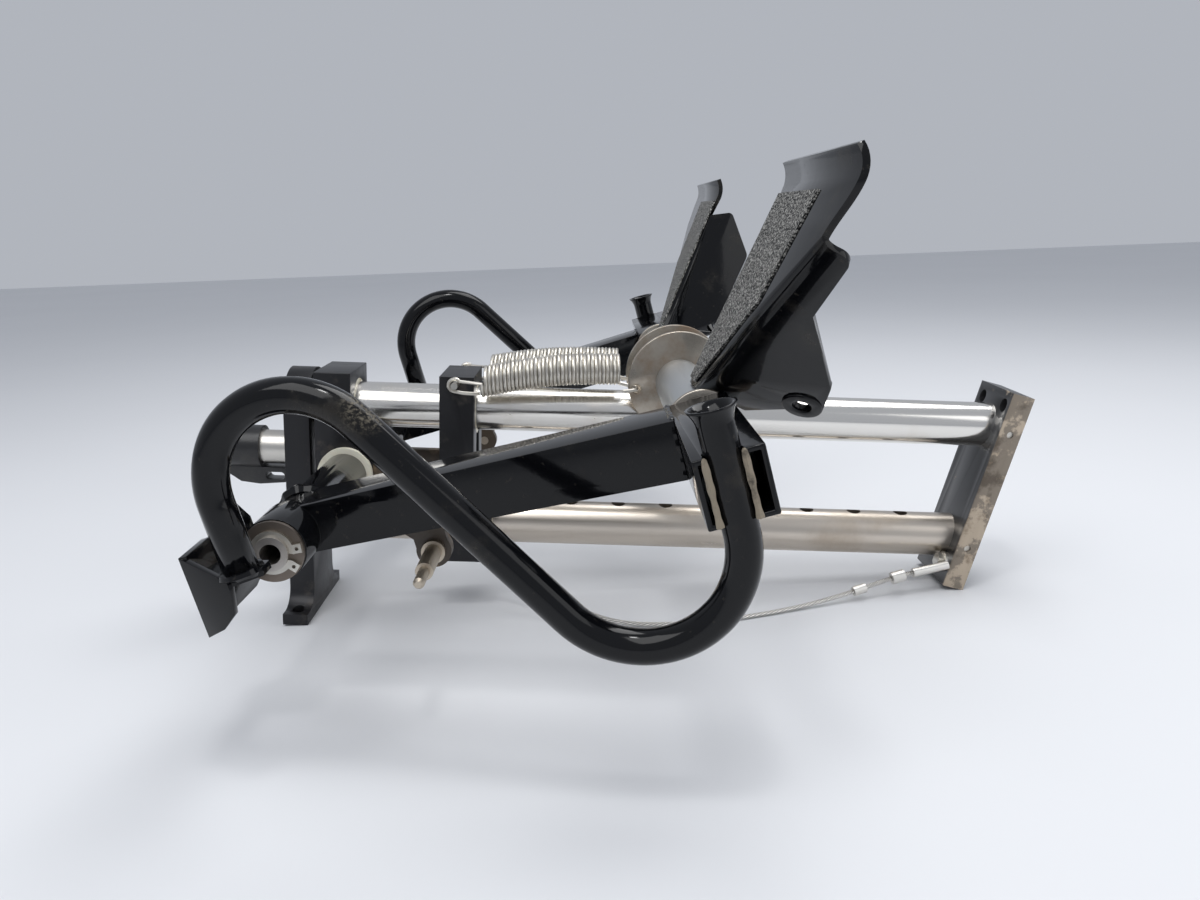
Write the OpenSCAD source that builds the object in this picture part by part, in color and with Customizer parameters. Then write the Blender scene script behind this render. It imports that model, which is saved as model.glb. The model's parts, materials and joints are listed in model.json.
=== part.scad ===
// Adjustable rudder pedals of a light aircraft: a two-tube sled, a carriage that slides on it,
// two swinging arms with S-shaped cable tubes, and a toe brake pedal on each arm.
// X points forward, Y to the left, Z up. The origin is under the middle of the rear foot.

/* [Sled] */
// Outer diameter of both sled tubes
tube_d = 20; // [18:0.5:22]
// Wall of the sled tubes
tube_wall = 2; // [1:0.25:3]
// Height of the upper tube axis over the foot
upper_z = 96; // [94:0.5:100]
// Height of the lower tube axis over the foot
lower_z = 42.8; // [40:0.2:44]
// Length from the rear web to the front plate at the upper tube
sled_len = 309; // [300:1:340]
// Lean of the front plate
plate_tilt = 13; // [8:0.5:16]
// Width of the front plate
plate_w = 36; // [32:1:44]
// Thickness of the front plate
plate_t = 9.5; // [8:0.5:12]
// Length of the front plate
plate_len = 92; // [90:1:100]
// Diameter of the plate's mounting holes
plate_hole_d = 6.2; // [5:0.1:7]
// Spacing of the plate's mounting holes across the sled
plate_hole_gap = 23; // [22:0.5:25]
// Thickness of the rear web
web_t = 11; // [8:0.5:13]
// Width of the rear web
web_w = 32; // [30:0.5:36]
// Width of the rear foot
foot_w = 57; // [54:1:64]
// Thickness of the rear foot
foot_t = 4.8; // [4:0.2:7]
// Diameter of the foot's bolt holes
foot_hole_d = 5.3; // [4.5:0.1:6.5]
// Spacing of the foot's bolt holes
foot_hole_gap = 46; // [44:0.5:48]
// Diameter of the adjustment holes
lock_hole_d = 6.4; // [5:0.1:7.5]
// Pitch of the adjustment holes
lock_pitch = 22; // [20:0.5:24]

/* [Carriage] */
// Thickness of the rear block along the sled
rear_block_t = 16; // [14:0.5:17]
// Width of both carriage blocks
block_w = 33; // [30:0.5:36]
// Thickness of the front block along the sled
front_block_t = 15; // [13:0.5:16]
// Distance from the web to the middle of the front block
front_block_x = 70; // [66:0.5:72]
// Outer diameter of the pivot axle
axle_d = 12; // [10:0.25:13]
// Bore of the pivot axle
axle_bore = 7.2; // [5:0.1:8]
// Diameter of the lock pin
lock_pin_d = 6; // [4.5:0.1:6.2]

/* [Arms] */
// Length of the arm from its pivot to the pedal shaft
arm_len = 152.5; // [145:0.5:160]
// Angle of the arm over the sled as it lies at rest
arm_rest = 17.2; // [14:0.2:20]
// Width of the box beam
arm_w = 23; // [20:0.5:26]
// Height of the box beam at the pedal shaft
arm_h = 20.5; // [18:0.5:22]
// Height of the box beam at the pivot
arm_root_h = 17.5; // [15:0.5:18]
// Outward splay of the box beam
arm_splay = 11.5; // [8:0.5:14]
// Outer diameter of the torque tube
torque_d = 19.2; // [18.5:0.1:21]
// Outer diameter of the boss at the torque tube's end
boss_d = 22.4; // [21.5:0.1:24]
// Side of the square cross tube
cross_w = 20.5; // [19:0.5:23]
// Wall of the box beam and of the cross tube
box_wall = 1.6; // [1:0.1:2.2]
// Outer diameter of the S tube
s_tube_d = 10.8; // [10:0.1:12]
// Wall of the S tube
s_tube_wall = 1.2; // [0.8:0.1:2]
// Bend radius of the S tube near the pivot
s_bend_low = 27; // [25:0.5:28]
// Bend radius of the S tube near the pedal
s_bend_high = 29.5; // [28:0.5:31]

/* [Pedals] */
// Diameter of the pedal shaft
shaft_d = 14; // [12:0.25:15]
// Outer diameter of the pedal hub
hub_d = 21; // [19:0.25:23]
// Diameter of the spring disc
disc_d = 45; // [40:0.5:48]
// Thickness of the spring disc
disc_t = 2.4; // [1.5:0.1:3]
// Thickness of the pedal sheet
sheet_t = 2; // [1.2:0.1:2.6]
// Length of the pedal plate up to its lip
plate_rise = 75; // [70:1:80]
// Lean of the pedal plate from the floor
pedal_lean = 69; // [64:1:74]
// Diameter of the brake link hole
lug_hole_d = 6.4; // [5:0.1:7]
// Outer diameter of the return springs
spring_d = 14; // [12:0.25:15]
// Wire of the return springs
spring_wire = 2; // [1.4:0.1:2.4]
// Number of coils in a return spring
spring_turns = 27; // [20:1:30]

/* [Hidden] */
$fn = 64;

// Running clearance round a shaft, room between pieces that move past each other, overlap of cuts
run_gap = 0.04;
room = 0.3;
eps = 0.01;
cut = 1;

// Sled
tube_r = tube_d / 2;
web_x = -web_t / 2;
web_r = web_w / 2;
foot_fillet = 9;
handle_z = (upper_z + lower_z) / 2 + 5.2;
handle_tube_d = 15.4;
handle_tube_len = 38;
tongue_w = 8;
tongue_h = 9;
tongue_l = 29;
slot_d = 3.6;
plate_over = 18;
plate_hole_in = 9.5;
lock_first_x = 77;
lock_count = 10;

// Carriage
rear_block_x = 8;
block_top = upper_z + tube_r + 6.2;
block_fit = 0.05;
bush_wall = 1.5;
bush_len = 12;
pivot_x = 21.3;
pivot_z = 67.5;
rear_block_base = pivot_z - 12.5;
rear_base_w = 25;
front_back_x = front_block_x - front_block_t / 2;
front_face_x = front_block_x + front_block_t / 2;
front_base_x = lock_first_x + 8.5;
front_base_z = lower_z - tube_r - 5;
front_step_z = lower_z + tube_r + 9;
pin_head_d = 10;
pin_drop = 6;
pin_low = lower_z + tube_r + 0.2;
tie_bar_t = 4;
tie_bar_h = 9;

// Arm: u runs along the arm, w outward from the middle plane, v upward across the arm
boss_in = 96;
boss_out = 118;
bush_flange_t = 2.4;
bush_flange_d = 24;
arm_bush_wall = 1.5;
torque_in = block_w / 2 + room + bush_flange_t;
washer_t = 1.5;
washer_d = 21.6;
clip_t = 1.1;
clip_d = 15.4;
axle_half = boss_out + washer_t + clip_t + 1.6;
cross_in = 103.2;
cross_out = 182;
arm_tip_u = arm_len - cross_w / 2;
arm_tip_w = 128;
s_high_w = cross_out - 4;
s_yaw = 8.2;
s_end_v = 23;
flare = 2;
flare_len = 5;
s_bore_r = s_tube_d / 2 - s_tube_wall;
s_low_v = 5.6;
s_low_u = 5;
bracket_t = 2.5;
stud_u = 46;
stud_d = 6.4;

// Pedal
disc_w = tube_r + 1.6;
hub_in = disc_w + disc_t + 0.4;
hub_washer_t = 2.2;
hub_out = cross_in - hub_washer_t - 1;
pad_t = 0.8;
pad_kink = [135, 37];
pad_top = 147;
edge_in_low = 76;
edge_in_high = 87;
bend_low = 94;
bend_high = 174;
bend_t = 58;
lip_r = 10;
lip_angle = 50;
tip_w = 184;
plate_n = -6.4;
plate_t0 = sqrt(pow(hub_d / 2, 2) - pow(plate_n + sheet_t, 2));
lug_s = 20.5;
lug_n = 32.7;
lug_r = 7;
spring_w = tube_r + spring_d / 2 + 5;
spring_x = [front_face_x + 4, front_face_x + 63];
spring_z = upper_z + tube_r + 0.5;
anchor_d = 3;
anchor_z = upper_z + tube_r + bush_wall + anchor_d / 2 + 0.6;
disc_hole = [-18.7, -3.3];

// Route of the loose cable, from the eyelet on the plate to the front block
CABLE = [[277, -19.7, 30.1], [270, -20.9, 28.5], [262, -22.3, 26.2], [252, -24.6, 23.2], [240, -28, 20.4],
  [226, -32.5, 18], [210, -37.5, 16.2], [194, -41.8, 15], [178, -44.5, 13.8], [162, -45.2, 12.7],
  [146, -43.5, 12.2], [132, -39.8, 14], [120, -34.8, 18.4], [109, -28.8, 24.6], [100, -22.6, 30.6],
  [92, -17, 34.8], [front_base_x + 0.7, -14, 36]];
cable_d = 2;

function arm_point(u, v) = [pivot_x + u * cos(arm_rest) - v * sin(arm_rest),
  pivot_z + u * sin(arm_rest) + v * cos(arm_rest)];
hub_at = arm_point(arm_len, 0);
function plate_face_x(z) = sled_len + (z - upper_z) * tan(plate_tilt);

module along_y(d, from, to) {
  translate([0, from, 0]) rotate([-90, 0, 0]) cylinder(d = d, h = to - from);
}
module along_x(d, from, to) {
  translate([from, 0, 0]) rotate([0, 90, 0]) cylinder(d = d, h = to - from);
}
module ring_y(d, bore, from, to) {
  difference() {
    along_y(d, from, to);
    along_y(bore, from - cut, to + cut);
  }
}
module box(low, high) {
  translate(low) cube(high - low);
}
// Places that the right and left sides share: a side is 1 on the left and -1 on the right
module on_side(side) {
  if (side > 0) children();
  else mirror([0, 1, 0]) children();
}
module at_pivot() {
  translate([pivot_x, 0, pivot_z]) children();
}
module in_arm() {
  at_pivot() rotate([0, -arm_rest, 0]) children();
}
module at_hub() {
  translate([hub_at[0], 0, hub_at[1]]) children();
}

// Sled
module foot_profile() {
  half = foot_w / 2;
  difference() {
    union() {
      translate([0, upper_z]) circle(web_r);
      translate([-web_r, 0]) square([web_w, upper_z]);
      translate([-half, 0]) square([foot_w, foot_t]);
      translate([-web_r - foot_fillet, 0]) square([web_w + 2 * foot_fillet, foot_t + foot_fillet]);
    }
    for (s = [-1, 1])
      translate([s * (web_r + foot_fillet), foot_t + foot_fillet]) circle(foot_fillet);
  }
}
module rear_foot() {
  color("#26272b") difference() {
    translate([web_x, 0, 0]) rotate([90, 0, 90]) linear_extrude(web_t) foot_profile();
    translate([0, 0, upper_z]) along_x(tube_d, web_x + 3, web_t);
    translate([0, 0, lower_z]) along_x(tube_d, web_x + 3, web_t);
    translate([0, 0, handle_z]) along_x(handle_tube_d, -web_t, web_t);
    for (s = [-1, 1])
      translate([0, s * foot_hole_gap / 2, -cut]) cylinder(d = foot_hole_d, h = foot_t + foot_fillet);
  }
}
module sled_tube(z) {
  difference() {
    translate([0, 0, z]) along_x(tube_d, web_x + 3, plate_face_x(z) + tube_r);
    translate([0, 0, z]) along_x(tube_d - 2 * tube_wall, web_x, plate_face_x(z) + tube_d);
    plate_slab(2 * tube_d, 0);
  }
}
module upper_guide_tube() {
  color("#d8d4cc") sled_tube(upper_z);
}
module lower_lock_tube() {
  color("#b9aa95") difference() {
    sled_tube(lower_z);
    for (i = [0 : lock_count - 1])
      translate([lock_first_x + i * lock_pitch, 0, lower_z]) cylinder(d = lock_hole_d, h = tube_d);
  }
}
// The leaning frame of the front plate: its face holds the tubes, n runs forward
module on_plate() {
  translate([sled_len, 0, upper_z]) rotate([0, plate_tilt, 0]) children();
}
module plate_slab(thick, from) {
  on_plate() box([from, -plate_w, -plate_len], [from + thick, plate_w, plate_len]);
}
module front_plate() {
  low = plate_over - plate_len;
  color("#2a2926") difference() {
    on_plate() box([0, -plate_w / 2, low], [plate_t, plate_w / 2, plate_over]);
    on_plate() for (s = [-1, 1], z = [plate_over - plate_hole_in + 3, low + plate_hole_in])
      translate([0, s * plate_hole_gap / 2, z]) along_x(plate_hole_d, -cut, plate_t + cut);
    on_plate() for (z = screw_levels())
      translate([plate_t / 2, -plate_w / 2 - cut, z]) along_y(3, 0, 4 + cut);
  }
}
function screw_levels() = [0, (lower_z - upper_z) / cos(plate_tilt)];
module tube_grub_screws() {
  color("#7d7a74") on_plate() for (z = screw_levels())
    translate([plate_t / 2, -plate_w / 2, z]) along_y(3, 1, 4);
}
module handle_tube() {
  color("#c2bdb2") translate([0, 0, handle_z]) difference() {
    along_x(handle_tube_d, web_x - handle_tube_len, -web_x);
    along_x(handle_tube_d - 3, web_x - handle_tube_len - cut, web_t);
  }
}
module release_handle() {
  back = web_x - handle_tube_len + 8;
  color("#151517") translate([0, 0, handle_z]) difference() {
    union() {
      along_x(handle_tube_d + 4, back, back + 16);
      translate([back, tongue_w / 2, -handle_tube_d / 2]) rotate([90, 0, 0]) linear_extrude(tongue_w)
        difference() {
          polygon([[0, 3], [0, -4], [6, -tongue_h + 1], [tongue_l / 2, -tongue_h],
            [tongue_l - 3, -tongue_h + 1], [tongue_l, -tongue_h + 4], [tongue_l - 2, -1.2], [16, -1], [16, 3]]);
          hull() for (x = [tongue_l - 10, tongue_l - 5])
            translate([x, -tongue_h / 2 - 0.6]) circle(slot_d / 2);
        }
    }
    along_x(handle_tube_d + 2 * run_gap, back - 8, back + 40);
  }
}
// Loose cable
module in_eyelet() {
  low = plate_over - plate_len;
  on_plate() translate([0, -plate_hole_gap / 2, low + plate_hole_in]) children();
}
module cable_eyelet() {
  color("#c9c8c4") difference() {
    union() {
      in_eyelet() along_x(9, -2, 0);
      barrel();
    }
    in_eyelet() along_x(4.2, -9, cut);
  }
}
module barrel() {
  in_eyelet() translate([-1, -5.5, 0]) rotate([0, -114, 10]) cylinder(d = 4, h = 17);
}
module eyelet_screw() {
  color("#98948c") in_eyelet() union() {
    along_x(4, -2, 0);
    along_x(plate_hole_d, 0, plate_t - 1);
    translate([-4.6, 0, 0]) rotate([0, 90, 0]) cylinder(d = 7, h = 2.6, $fn = 6);
  }
}
function unit(v) = v / norm(v);
function tangent(p, i) = unit(p[min(i + 1, len(p) - 1)] - p[max(i - 1, 0)]);
module sweep(path, d, sides, side_dir) {
  n = len(path);
  rings = [for (i = [0 : n - 1]) let (t = tangent(path, i), a = unit(cross(t, side_dir)), b = cross(t, a))
    for (k = [0 : sides - 1]) path[i] + d / 2 * (cos(k * 360 / sides) * a + sin(k * 360 / sides) * b)];
  walls = [for (i = [0 : n - 2], k = [0 : sides - 1]) let (m = (k + 1) % sides)
    [i * sides + k, (i + 1) * sides + k, (i + 1) * sides + m, i * sides + m]];
  caps = [[for (k = [0 : sides - 1]) k], [for (k = [sides - 1 : -1 : 0]) (n - 1) * sides + k]];
  polyhedron(rings, concat(walls, caps));
}
module stop_cable() {
  color("#bdbab3") sweep(CABLE, cable_d, 8, [0, 0, 1]);
}
module cable_ferrules() {
  color("#cfccc4") for (i = [1, 3]) let (t = tangent(CABLE, i))
    translate(CABLE[i]) rotate([0, acos(t[2]), atan2(t[1], t[0])]) difference() {
      translate([0, 0, -3]) cylinder(d = i == 1 ? 5.4 : 4.4, h = 6);
      translate([0, 0, -4]) cylinder(d = cable_d + 0.4, h = 8);
    }
}

// Carriage
module rear_carriage_block() {
  x1 = rear_block_x + rear_block_t;
  color("#2b2b2e") difference() {
    translate([0, block_w / 2, 0]) rotate([90, 0, 0]) linear_extrude(block_w)
      polygon([[rear_block_x, rear_block_base], [x1 + rear_base_w - rear_block_t, rear_block_base],
        [x1 + rear_base_w - rear_block_t, pivot_z + 6], [x1, pivot_z + 15], [x1, block_top],
        [rear_block_x, block_top]]);
    translate([0, 0, upper_z]) along_x(tube_d + 2 * bush_wall, rear_block_x - cut, x1 + cut);
    at_pivot() along_y(axle_d, -block_w, block_w);
  }
}
module front_carriage_block() {
  color("#29292c") difference() {
    translate([0, block_w / 2, 0]) rotate([90, 0, 0]) linear_extrude(block_w)
      polygon([[front_back_x, front_base_z], [front_base_x, front_base_z], [front_base_x, front_step_z],
        [front_face_x, front_step_z + 8], [front_face_x, block_top], [front_back_x, block_top]]);
    translate([0, 0, upper_z]) along_x(tube_d + 2 * bush_wall, front_back_x - cut, front_face_x + cut);
    translate([0, 0, lower_z]) along_x(tube_d + 2 * bush_wall, front_back_x - cut, front_base_x + cut);
    translate([lock_first_x, 0, lower_z]) cylinder(d = lock_pin_d + 2 * run_gap, h = tube_d + 10);
    translate([lock_first_x, 0, front_step_z - 3]) cylinder(d = pin_head_d + 2 * room, h = 26);
    translate([front_block_x, 0, anchor_z]) along_y(anchor_d, -block_w, block_w);
  }
}
module sleeve_x(x0, x1, z) {
  translate([0, 0, z]) difference() {
    along_x(tube_d + 2 * bush_wall, x0, x1);
    along_x(tube_d + 2 * block_fit, x0 - cut, x1 + cut);
  }
}
module guide_bushes() {
  color("#d9d2bd") difference() {
    union() {
      sleeve_x(rear_block_x, rear_block_x + rear_block_t, upper_z);
      sleeve_x(front_back_x, front_face_x, upper_z);
      sleeve_x(front_back_x, front_base_x, lower_z);
    }
    translate([lock_first_x, 0, lower_z]) cylinder(d = lock_pin_d + 2 * room, h = tube_d);
  }
}
module carriage_tie_bar() {
  color("#4c4030") for (s = [-1, 1])
    translate([0, s * (block_w / 2 - tie_bar_t), 0])
      box([rear_block_x + rear_base_w, min(0, s * tie_bar_t), pivot_z - 4],
        [front_back_x, max(0, s * tie_bar_t), pivot_z - 4 + tie_bar_h]);
}
module pivot_axle() {
  color("#8f8a82") at_pivot() ring_y(axle_d, axle_bore, -axle_half, axle_half);
}
module pivot_washers() {
  color("#4a4540") for (s = [-1, 1]) on_side(s)
    at_pivot() ring_y(washer_d, axle_d, boss_out + 0.15, boss_out + 0.15 + washer_t);
}
module pivot_circlips() {
  from = boss_out + 0.15 + washer_t;
  color("#cfc9b4") for (s = [-1, 1]) on_side(s) at_pivot() difference() {
    union() {
      along_y(clip_d, from, from + clip_t);
      for (a = [-12, 32]) rotate([0, a, 0])
        box([clip_d / 2 - 1.5, from, -1.6], [clip_d / 2 + 2.6, from + clip_t, 1.6]);
    }
    along_y(axle_d, from - cut, from + clip_t + cut);
    rotate([0, 10, 0]) box([0, from - cut, -1.2], [clip_d, from + clip_t + cut, 1.2]);
    for (a = [-12, 32]) rotate([0, a, 0])
      translate([clip_d / 2 + 1, 0, 0]) along_y(1.3, from - cut, from + clip_t + cut);
  }
}
module spring_anchor_pin() {
  half = spring_w + spring_wire + 1;
  color("#b9b5ad") translate([front_block_x, 0, anchor_z]) along_y(anchor_d, -half, half);
}
module lock_pin() {
  head_z = front_step_z - 3 + pin_drop + 0.4;
  color("#a9a49a") translate([lock_first_x, 0, 0]) union() {
    translate([0, 0, pin_low + 2]) cylinder(d = lock_pin_d, h = head_z + 2 - pin_low);
    translate([0, 0, pin_low]) cylinder(d1 = lock_pin_d - 2, d2 = lock_pin_d, h = 2);
    translate([0, 0, head_z]) cylinder(d = pin_head_d, h = 5);
  }
}

// Arms
bush_d = axle_d + 2 * arm_bush_wall;
function face_w(u) = arm_tip_w + (u - arm_tip_u) * tan(arm_splay);
function back_w(u) = face_w(u) - arm_w / cos(arm_splay);
function arm_half(u) = (arm_root_h + (arm_h - arm_root_h) * u / arm_tip_u) / 2;
module beam(u0, wall, over) {
  u1 = arm_tip_u + over;
  intersection() {
    translate([0, 0, -arm_h]) linear_extrude(2 * arm_h)
      polygon([[u0, back_w(u0) + wall], [u1, back_w(u1) + wall], [u1, face_w(u1) - wall],
        [u0, face_w(u0) - wall]]);
    translate([0, cross_out, 0]) rotate([90, 0, 0]) linear_extrude(cross_out)
      polygon([[u0, -arm_half(u0) + wall], [u1, -arm_half(u1) + wall], [u1, arm_half(u1) - wall],
        [u0, arm_half(u0) - wall]]);
  }
}
module arm() {
  color("#131417") in_arm() difference() {
    union() {
      along_y(torque_d, torque_in, boss_out);
      along_y(boss_d, boss_in, boss_out);
      beam(0, 0, 0);
    }
    beam(torque_d / 2 + 4, box_wall, cut);
    along_y(bush_d, torque_in - cut, boss_out + cut);
  }
}
module cross_tube() {
  half = cross_w / 2;
  inner = half - box_wall;
  color("#131417") in_arm() translate([arm_len, 0, 0]) difference() {
    box([-half, cross_in, -half], [half, cross_out, half]);
    box([-inner, cross_in - cut, -inner], [inner, cross_out + cut, inner]);
    translate([-1.2, s_high_w, -cross_w]) cylinder(d = s_tube_d + 0.1, h = 2 * cross_w);
    translate([-1.2 - s_tube_d / 2 - 0.05, s_high_w, -cross_w]) cube([s_tube_d + 0.1, cross_w, 2 * cross_w]);
  }
}
// Middle line of the S tube in its own plane: p runs forward, v upward
s_span = (arm_len - 1.2 - s_low_u) / cos(s_yaw);
s_turn_low = [-s_span + s_bend_low, 27.5];
s_turn_high = [-s_bend_high, -13.3];
s_step = s_turn_high - s_turn_low;
s_dir = atan2(s_step[1], s_step[0]);
s_lean = acos((s_bend_low + s_bend_high) / norm(s_step));
function on_arc(c, r, a) = [c[0] + r * cos(a), c[1] + r * sin(a)];
module in_s_plane() {
  in_arm() translate([arm_len - 1.2, s_high_w, 0]) rotate([0, 0, s_yaw]) children();
}
// Rings of the S tube: place along the middle line, and how far the mouth has opened there
s_arc_steps = 13;
s_start = s_dir + s_lean;
function s_arc(c, r, from, to) = [for (i = [0 : s_arc_steps])
  let (q = on_arc(c, r, from + (to - from) * i / s_arc_steps)) [q[0], 0, q[1]]];
s_path = concat([[-s_span, 0, s_low_v]], s_arc(s_turn_low, s_bend_low, 180, s_start),
  s_arc(s_turn_high, s_bend_high, s_start + 180, 360),
  [[0, 0, s_end_v - flare_len], [0, 0, s_end_v - flare_len / 2], [0, 0, s_end_v]]);
function s_open(i) = let (left = len(s_path) - 1 - i) left == 0 ? flare : left == 1 ? flare / 3 : 0;
module s_tube() {
  sides = 18;
  n = len(s_path);
  function ring(i, r) = let (t = tangent(s_path, i), a = cross(t, [0, 1, 0]))
    [for (k = [0 : sides - 1]) s_path[i] + r * (cos(k * 360 / sides) * a + sin(k * 360 / sides) * [0, 1, 0])];
  outer = [for (i = [0 : n - 1]) each ring(i, s_tube_d / 2 + s_open(i))];
  inner = [for (i = [0 : n - 1]) each ring(i, s_bore_r + s_open(i))];
  m = n * sides;
  walls = [for (i = [0 : n - 2], k = [0 : sides - 1]) let (a = i * sides + k, b = i * sides + (k + 1) % sides)
    each [[a, a + sides, b + sides, b], [m + b, m + b + sides, m + a + sides, m + a]]];
  ends = [for (k = [0 : sides - 1]) let (b = (k + 1) % sides, e = m - sides)
    each [[k, b, m + b, m + k], [m + e + k, m + e + b, e + b, e + k]]];
  color("#101114") in_s_plane() polyhedron([each outer, each inner], concat(walls, ends));
}
// Folded bracket behind the boss: a back plate, a shelf under the S tube and a wing on the outside
s_low_w = s_high_w - s_span * sin(s_yaw);
module s_tube_bracket() {
  back = -boss_d / 2 - bracket_t;
  shelf = s_low_v - bracket_t;
  out = s_low_w - 3.2;
  wing_u = s_low_u - 3.4;
  wing_w = s_low_w + 4.9;
  color("#17171a") in_arm() union() {
    translate([back, 0, 0]) rotate([90, 0, 90]) linear_extrude(bracket_t)
      polygon([[boss_in + 4, -8], [boss_in + 4, 10], [boss_in + 11, 17], [boss_out + 6, 12],
        [out - 18, 14.2], [out, 14.2], [out - 4.6, -12.6], [out - 10.6, -10.8], [boss_out - 3, -11.4]]);
    translate([0, 0, shelf]) linear_extrude(bracket_t)
      polygon([[back, out - 20], [back, out - 1], [wing_u, wing_w - 1], [s_low_u + 6, s_low_w],
        [s_low_u + 6, s_low_w - 7]]);
    intersection() {
      translate([0, 0, -boss_d]) linear_extrude(2 * boss_d)
        polygon([[back, out], [wing_u, wing_w], [wing_u + 1.2, wing_w - 2.2], [back + 1.2, out - 2.2],
          [back, out - 4.6]]);
      translate([0, cross_out, 0]) rotate([90, 0, 0]) linear_extrude(cross_out)
        polygon([[back, 14.2], [wing_u + 1.2, s_low_v - 1], [wing_u - 1.6, -5.5], [wing_u - 7.6, -10],
          [back, -12.6]]);
    }
  }
}
module inner_bush() {
  color("#e6dfc8") at_pivot() union() {
    ring_y(bush_flange_d, axle_d + 2 * run_gap, torque_in - bush_flange_t, torque_in);
    ring_y(bush_d, axle_d + 2 * run_gap, torque_in - eps, torque_in + 14);
  }
}
module outer_bush() {
  color("#e6dfc8") at_pivot() ring_y(bush_d, axle_d + 2 * run_gap, boss_out - 14, boss_out);
}
stud_in = back_w(stud_u) + 2;
stud_v = -22;
bracket_w = 5.5;
module stud_bracket() {
  half = 12;
  color("#3a2c20") in_arm() translate([0, stud_in + bracket_w, 0]) rotate([90, 0, 0])
    linear_extrude(bracket_w) difference() {
      union() {
        translate([stud_u, stud_v]) circle(6.5);
        polygon([[stud_u - half, -arm_half(stud_u - half)], [stud_u + half, -arm_half(stud_u + half)],
          [stud_u + 6, -16], [stud_u + 6, stud_v], [stud_u - 6, stud_v], [stud_u - 6, -16]]);
      }
      translate([stud_u, stud_v]) circle(d = stud_d - 2);
    }
}
module brake_stud() {
  root = stud_in + bracket_w;
  color("#b08f5c") in_arm() translate([stud_u, 0, stud_v]) union() {
    along_y(stud_d - 2, stud_in, root + 2);
    along_y(stud_d + 2.4, root, root + 2.4);
    along_y(stud_d, root + 2.4, root + 22);
    along_y(4, root + 22, root + 33);
    translate([0, root + 33, 0]) rotate([-90, 0, 0]) cylinder(d1 = 4, d2 = 2.4, h = 1.2);
  }
}
module pedal_shaft() {
  plug = cross_w - 2 * box_wall;
  color("#8d8a86") at_hub() union() {
    along_y(10, disc_w - 0.8, hub_in);
    along_y(shaft_d, disc_w + disc_t, cross_in);
    along_y(plug, cross_in, cross_in + 22);
  }
}
module spring_disc() {
  color("#8a7f70") at_hub() difference() {
    along_y(disc_d, disc_w, disc_w + disc_t);
    along_y(10, 0, hub_out);
    translate([disc_hole[0], 0, disc_hole[1]]) along_y(2 * spring_wire, 0, hub_out);
  }
}
module hub_washer() {
  color("#7a6f60") at_hub() ring_y(26, shaft_d, cross_in - hub_washer_t, cross_in);
}

// Brake pedals
module on_pedal() {
  at_hub() rotate([0, 90 - pedal_lean, 0]) translate([plate_n, 0, plate_t0]) children();
}
module pedal_hub() {
  color("#a6a9ab") at_hub() ring_y(hub_d, shaft_d + 2 * run_gap, hub_in, hub_out);
}
module sheet(thick) {
  rotate([90, 0, 90]) linear_extrude(thick) children();
}
module pedal_face() {
  steps = 10;
  top = tip_w - bend_high;
  polygon(concat([[edge_in_low, 0], [bend_low, 0]],
    [for (i = [0 : steps]) [bend_high + top * (1 - cos(i * 180 / steps)) / 2,
      bend_t + (plate_rise - bend_t) * i / steps]],
    [[edge_in_high, plate_rise]]));
}
module brake_pedal() {
  in_turn = atan((edge_in_high - edge_in_low) / plate_rise);
  out_turn = atan((bend_high - bend_low) / bend_t);
  out_len = bend_t / cos(out_turn);
  color("#121316") on_pedal() difference() {
    union() {
      sheet(sheet_t) pedal_face();
      translate([-lip_r, tip_w, plate_rise]) rotate([90, 0, 0]) rotate_extrude(angle = lip_angle)
        translate([lip_r, 0]) square([sheet_t, tip_w - edge_in_high]);
      translate([0, edge_in_low + sheet_t, 0]) rotate([-in_turn, 0, 0]) rotate([90, 0, 0])
        linear_extrude(sheet_t) polygon([[0, 0], [0, 66], [5, 66], [14, 58], [16, 40], [13, 4]]);
      translate([0, bend_low, 0]) rotate([-out_turn, 0, 0]) union() {
        rotate([90, 0, 0]) linear_extrude(sheet_t) union() {
          polygon([[0, 0], [0, out_len], [8, out_len], [10.8, out_len - 3], [13.2, out_len - 30],
            [lug_n, lug_s + 19], [lug_n + lug_r, lug_s], [lug_n - 3, lug_s - 6.3], [19, 2], [6, 3.2]]);
          translate([lug_n, lug_s]) circle(lug_r);
        }
        translate([lug_n, 0, lug_s]) along_y(2 * lug_r, -5, 3);
      }
    }
    translate([0, bend_low, 0]) rotate([-out_turn, 0, 0]) translate([lug_n, 0, lug_s])
      along_y(lug_hole_d, -9, 9);
  }
}
module grip_pad() {
  color("#4b4a48") on_pedal() translate([-pad_t, 0, 0]) sheet(pad_t)
    polygon([[edge_in_low + 1, 2], [bend_low - 5, 2], pad_kink, [pad_top, plate_rise - 2],
      [edge_in_high + 1, plate_rise - 2]]);
}

// Return springs
function coil_point(k, n) = let (f = k / n, a = 90 - 360 * spring_turns * f, r = (spring_d - spring_wire) / 2)
  [spring_x[0] + (spring_x[1] - spring_x[0]) * f, spring_w + r * cos(a), spring_z + r * sin(a)];
module return_spring() {
  n = spring_turns * 10;
  r = (anchor_d + spring_wire) / 2 + 0.3;
  hook = [for (a = [250 : -35 : 40]) [front_block_x + r * cos(a), spring_w, anchor_z + r * sin(a)]];
  hole = [hub_at[0] + disc_hole[0], hub_at[1] + disc_hole[1]];
  tail = [[spring_x[1] + 2.4, spring_w + 2, spring_z + 6], [hole[0] - 2, disc_w + disc_t + 5, hole[1] + 0.6],
    [hole[0], disc_w + disc_t + 2, hole[1]], [hole[0], disc_w - 1, hole[1]]];
  color("#b8b4aa") sweep(concat(hook, [for (k = [0 : n]) coil_point(k, n)], tail), spring_wire, 6,
    [0.94, -0.28, 0.2]);
}

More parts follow.
